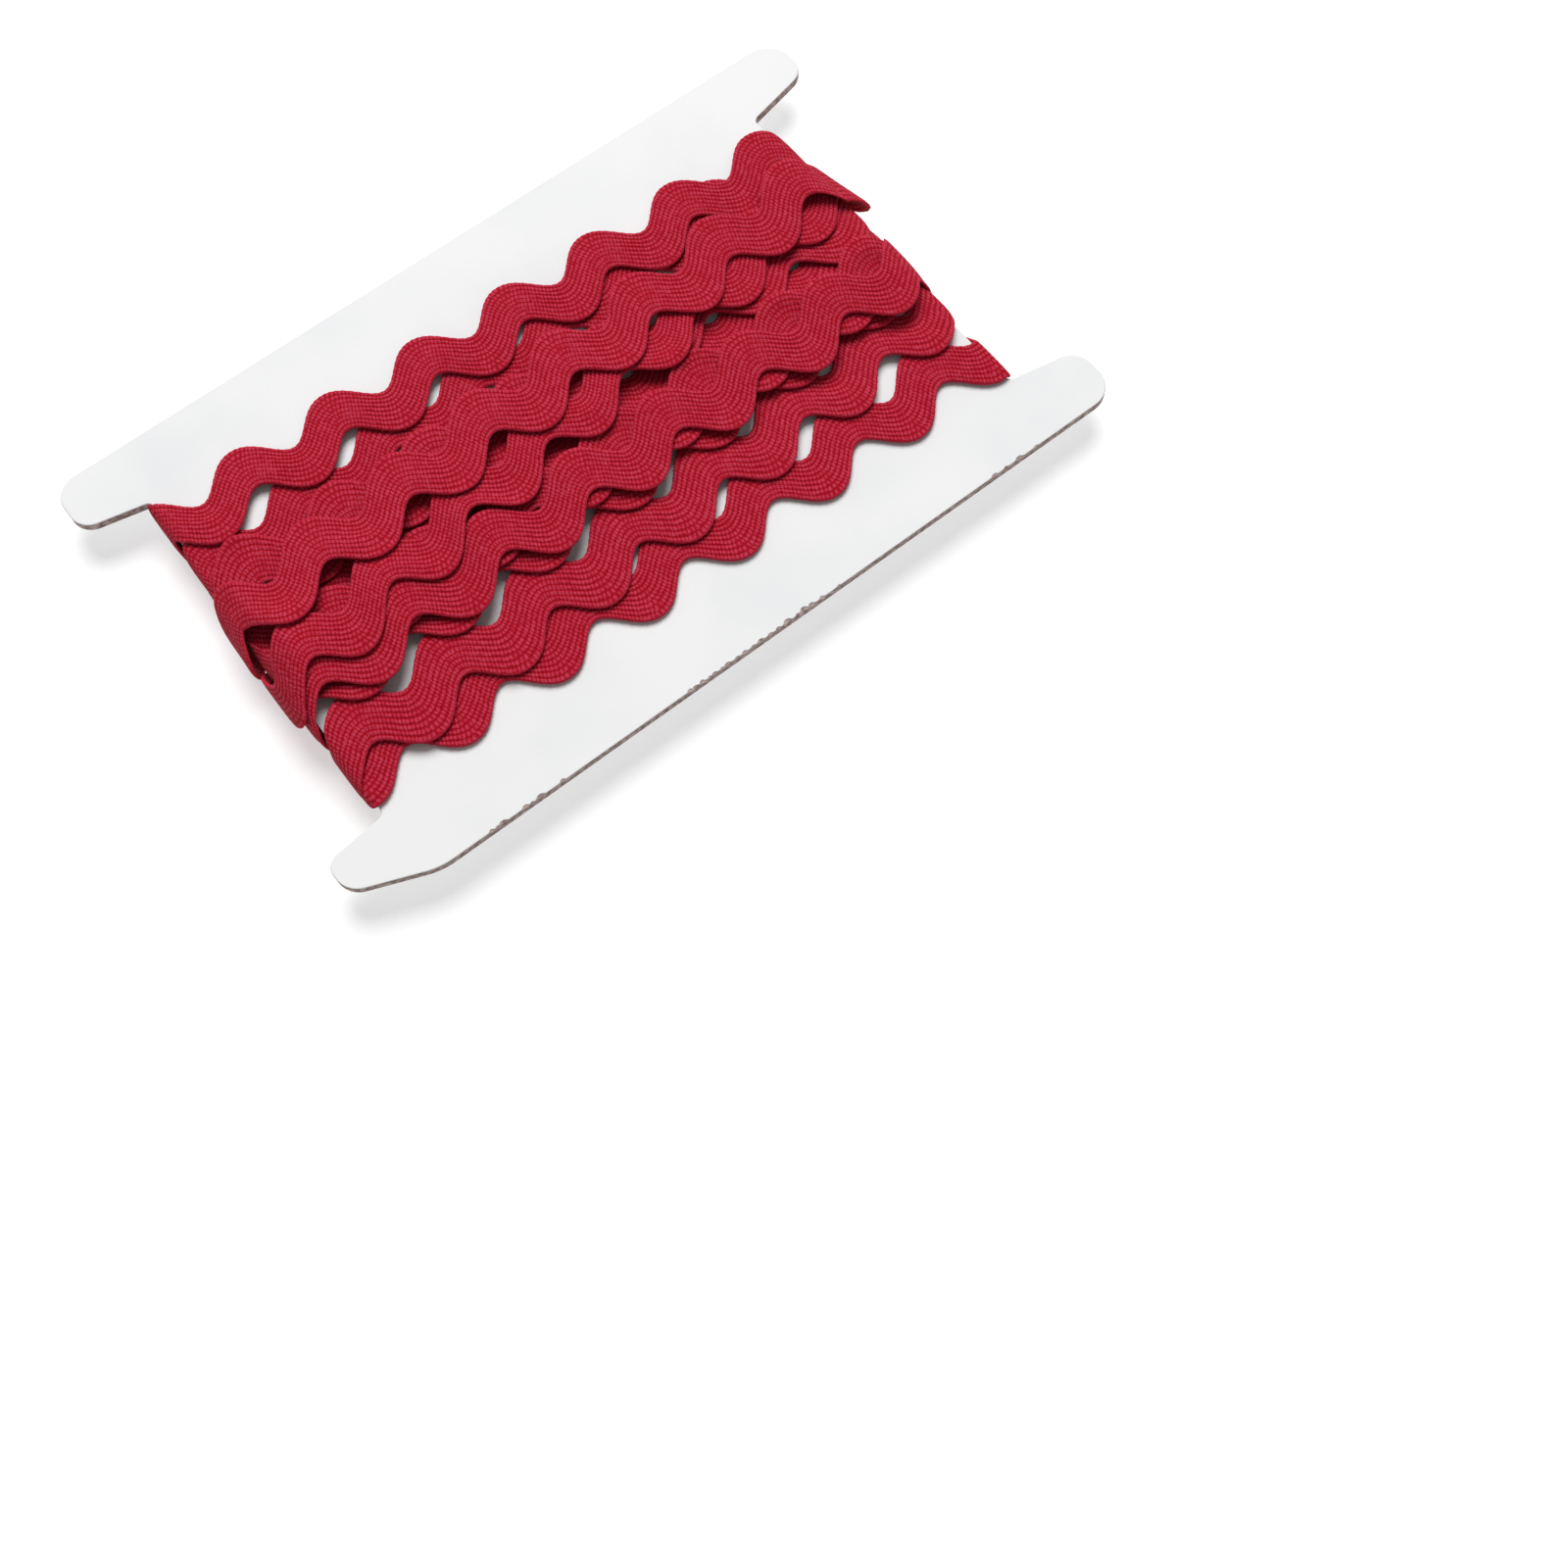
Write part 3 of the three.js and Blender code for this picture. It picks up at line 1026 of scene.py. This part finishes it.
    @staticmethod
    def _piece(name: str, points: Array, values: dict[str, Array]) -> Object:
        """Makes one closed piece: a tube of the section's rings, flat at both its ends.

        Args:
            name: The piece's name.
            points: Its points, by column and place on the ring.
            values: What it carries for the finish, by column or by place on the ring.

        Returns:
            The piece.
        """
        columns, ring = points.shape[:2]
        column, place = np.meshgrid(np.arange(columns - 1), np.arange(ring), indexing="ij")
        following = (place + 1) % ring
        corners = [column * ring + place, (column + 1) * ring + place]
        corners += [(column + 1) * ring + following, column * ring + following]
        faces = np.stack(corners, axis=-1).reshape(-1, 4).tolist()
        faces.append(list(range(ring)))
        faces.append(list(range(columns * ring - 1, (columns - 1) * ring - 1, -1)))
        piece = new_mesh(name, points.reshape(-1, 3), faces)
        for key, value in values.items():
            layer = piece.data.attributes.new(key, "FLOAT", "POINT")
            layer.data.foreach_set("value", np.broadcast_to(value, (columns, ring)).astype("f").ravel())
        return piece


@dataclass
class WindingCard:
    """The notched board: a pulp core between two thin white papers.

    corners are x, y and radius of its outline's corners. nicks are x, half width and depth of the places on
    the near long edge where the paper is torn back, and edge_reach is how far that edge reaches. An inset is
    how far a ring of the rim lies inside the outline: the face's, the one at the foot of its rounding, and
    the paper's lower edge. Of the strips between the rings, paper_strips at either face are paper.
    """

    corners: tuple[Triple, ...] = (
        (-45.0, -35.4, 9.0),
        (56.2, -35.4, 3.6),
        (56.2, -27.9, 3.2),
        (NOTCH_HALF_LENGTH, -NOTCH_HALF_WIDTH, 1.0),
        (NOTCH_HALF_LENGTH, NOTCH_HALF_WIDTH, 1.0),
        (56.9, 28.4, 3.0),
        (56.9, 35.4, 4.0),
        (-55.3, 35.2, 3.2),
        (-55.3, 28.0, 2.8),
        (-NOTCH_HALF_LENGTH, NOTCH_HALF_WIDTH, 1.0),
        (-NOTCH_HALF_LENGTH, -NOTCH_HALF_WIDTH, 1.0),
        (-55.1, -26.9, 1.9),
        (-55.1, -31.3, 3.2),
    )
    arc_steps: int = 14
    edge_step: float = 0.2
    paper: float = 0.14
    face_inset: float = 0.12
    rounding: float = 0.04
    rounding_inset: float = 0.05
    paper_inset: float = 0.04
    paper_strips: int = 2
    edge_reach: float = 0.3
    sharp_degrees: float = 15.0
    nicks: tuple[Triple, ...] = (
        (-38.0, 0.3, 0.22), (-37.2, 0.2, 0.14), (-36.4, 0.5, 0.30), (-33.3, 0.4, 0.26), (-32.4, 0.2, 0.12),
        (-31.2, 0.5, 0.30), (-28.1, 0.3, 0.26), (-9.9, 0.3, 0.24), (-9.1, 0.4, 0.18), (-8.1, 0.3, 0.28),
        (-7.0, 0.2, 0.12), (-6.3, 0.3, 0.20), (-5.2, 0.2, 0.14), (-4.4, 0.4, 0.24), (-3.0, 0.3, 0.14),
        (-1.9, 0.3, 0.22), (-0.6, 0.3, 0.14), (0.5, 0.4, 0.26), (1.9, 0.3, 0.16), (3.1, 0.3, 0.20),
        (4.5, 0.5, 0.38), (6.0, 0.3, 0.18), (7.0, 0.5, 0.44), (8.1, 0.4, 0.30), (9.6, 0.3, 0.22),
        (12.2, 0.2, 0.14), (36.4, 0.4, 0.24), (38.2, 0.3, 0.16), (40.3, 0.5, 0.28), (43.0, 0.3, 0.14),
    )

    def torn_back(self, outline: Array) -> Array:
        """How far the paper is torn back from the near long edge.

        Each nick is its depth times e to the minus fourth power of the distance from it over its half width.

        Args:
            outline: Points of the card's outline.

        Returns:
            The distance at each point.
        """
        x, y = outline.T
        near_edge = np.exp(-(((y - self.corners[0][1]) / self.edge_reach) ** 2))
        torn = [depth * np.exp(-(((x - place) / half) ** 4)) for place, half, depth in self.nicks]
        return near_edge * np.sum(torn, axis=0)

    def outline(self) -> Array:
        """Lays out the card's outline: straight sides joined by arcs.

        Returns:
            Its points, a small step apart.
        """
        points = []
        tips = np.array([(x, y) for x, y, _ in self.corners])
        for i, (x, y, radius) in enumerate(self.corners):
            tip = tips[i]
            before = tips[i - 1] - tip
            after = tips[(i + 1) % len(tips)] - tip
            before, after = before / np.linalg.norm(before), after / np.linalg.norm(after)
            half = math.acos(float(np.dot(before, after))) / 2
            middle = (before + after) / np.linalg.norm(before + after)
            centre = tip + middle * radius / math.sin(half)
            spoke = tip + before * radius / math.tan(half) - centre
            last = tip + after * radius / math.tan(half) - centre
            turn = math.atan2(spoke[0] * last[1] - spoke[1] * last[0], float(np.dot(spoke, last)))
            angles = np.linspace(0, turn, self.arc_steps + 1)
            points.append(np.stack([
                centre[0] + spoke[0] * np.cos(angles) - spoke[1] * np.sin(angles),
                centre[1] + spoke[0] * np.sin(angles) + spoke[1] * np.cos(angles),
            ], axis=-1))
        loop = np.concatenate(points)
        closed = np.vstack([loop, loop[:1]])
        length = np.concatenate([[0.0], np.cumsum(np.linalg.norm(np.diff(closed, axis=0), axis=1))])
        stations = np.linspace(0, length[-1], round(length[-1] / self.edge_step), endpoint=False)
        return np.stack([np.interp(stations, length, closed[:, i]) for i in range(2)], axis=-1)

    def build(self, paper: PaperFinish, core: CoreFinish) -> Object:
        """Makes the board.

        Its rim is a stack of rings round the outline: paper, core and paper, each set in a little from the
        one that stands out most.

        Args:
            paper: Finish of both faces.
            core: Finish of the cut.

        Returns:
            The board.
        """
        outline = self.outline()
        ahead, behind = np.roll(outline, -1, 0), np.roll(outline, 1, 0)
        tangent = (ahead - behind) / np.linalg.norm(ahead - behind, axis=1)[:, None]
        inward = np.stack([-tangent[:, 1], tangent[:, 0]], axis=-1)
        top = BOARD_THICKNESS / 2
        torn = self.torn_back(outline)
        whole = 0 * torn
        upper = [
            (top, self.face_inset, torn),
            (top - self.rounding, self.rounding_inset, torn),
            (top - self.paper, self.paper_inset, torn),
            (top - self.paper, 0.0, whole),
        ]
        lower = [(-level, inset, whole) for level, inset, _ in reversed(upper)]
        rings = []
        for level, inset, tear in [*upper, (0.0, 0.0, whole), *lower]:
            ring = outline + inward * (inset + tear)[:, None]
            rings.append(np.column_stack([ring, np.full(len(ring), level)]))
        points = np.concatenate(rings)
        strips = len(rings) - 1
        count = len(outline)
        place = np.arange(count)
        following = (place + 1) % count
        faces: list[Any] = []
        wall = []
        for level in range(strips):
            low, high = (level + 1) * count, level * count
            strip = np.stack([high + place, low + place, low + following, high + following], axis=-1)
            faces += strip.tolist()
            wall += [self.paper_strips <= level < strips - self.paper_strips] * count
        faces.append(list(range(count)))
        faces.append(list(range(len(points) - 1, len(points) - count - 1, -1)))
        card = new_mesh("card_board", points, faces)
        card.data.materials.append(paper.material())
        card.data.materials.append(core.material())
        card.data.polygons.foreach_set("material_index", [int(cut) for cut in wall] + [0, 0])
        card.data.set_sharp_from_angle(angle=math.radians(self.sharp_degrees))
        LOG.info("card_board: %d faces", len(card.data.polygons))
        return card


@dataclass
class Studio:
    """Pale floor, soft light and the camera of the view.

    position is the camera's, in millimetres from the middle of the board's upper face, with right and up in
    the picture. key_place is in metres. focal_share is the focal length as a share of the frame's width.
    """

    floor_half: float = 1500.0
    near: float = 0.01
    far: float = 10.0
    focal_share: float = 1933.8 / 1600
    sensor: float = 36.0
    position: Triple = (-54.1, -117.5, 200.5)
    right: Triple = (0.7897, -0.6131, -0.0227)
    up: Triple = (0.576, 0.7283, 0.3712)
    key_power: float = 25.5
    key_size: float = 1.1
    key_place: Triple = (0.40, 0.62, 1.25)
    world_power: float = 0.32

    def build(self) -> None:
        """Makes the floor, the lights and the camera."""
        self._floor()
        self._lights()
        self._camera()

    def _floor(self) -> None:
        """A wide flat floor under the roll."""
        half = self.floor_half
        corners = np.array([[-half, -half, 0], [half, -half, 0], [half, half, 0], [-half, half, 0]])
        floor = new_mesh("floor", corners - np.array([0, 0, CARD_LIFT]), [[0, 1, 2, 3]])
        floor.data.materials.append(FloorFinish().material())

    def _lights(self) -> None:
        """A broad key light from beyond the roll, and even light all round."""
        world = bpy.data.worlds.new("studio")
        world.use_nodes = True
        background = world.node_tree.nodes["Background"]
        background.inputs["Color"].default_value = (1.0, 1.0, 1.0, 1.0)
        background.inputs["Strength"].default_value = self.world_power
        bpy.context.scene.world = world
        key = bpy.data.lights.new("key", "AREA")
        key.shape = "DISK"
        key.size = self.key_size
        key.energy = self.key_power
        lamp = bpy.data.objects.new("key", key)
        lamp.location = Vector(self.key_place)
        lamp.rotation_euler = (-lamp.location).to_track_quat("-Z", "Y").to_euler()
        bpy.context.scene.collection.objects.link(lamp)

    def _camera(self) -> None:
        """The camera, placed from the solved perspective of the view."""
        right, up = Vector(self.right).normalized(), Vector(self.up)
        back = right.cross(up).normalized()
        up = back.cross(right)
        turned = Matrix((right, up, back)).transposed().to_4x4()
        data = bpy.data.cameras.new("camera")
        data.sensor_width = self.sensor
        data.lens = self.sensor * self.focal_share
        data.clip_start, data.clip_end = self.near, self.far
        camera = bpy.data.objects.new("camera", data)
        offset = Vector((NOTCH_CENTRE_X, 0.0, CARD_LIFT + BOARD_THICKNESS / 2))
        camera.matrix_world = Matrix.Translation((Vector(self.position) + offset) * MM) @ turned
        bpy.context.scene.collection.objects.link(camera)
        bpy.context.scene.camera = camera


def attach(piece: Object, node: str) -> None:
    """Makes a piece ride on the roll.

    Args:
        piece: The piece.
        node: The node that it stands for.
    """
    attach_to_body(piece, BODY)
    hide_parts(node)


def main() -> None:
    """Builds the studio, the card and the tape."""
    logging.basicConfig(level=logging.INFO, format="%(name)s %(message)s")
    bpy.context.scene.view_settings.view_transform = "Standard"
    Studio().build()
    attach(WindingCard().build(PaperFinish(), CoreFinish()), "card")
    braid = Braid()
    winding = Winding(braid, Route(braid), Drape())
    for piece in winding.build(BraidFinish()):
        attach(piece, "ric_rac_winding")


if __name__ == "__main__":
    main()
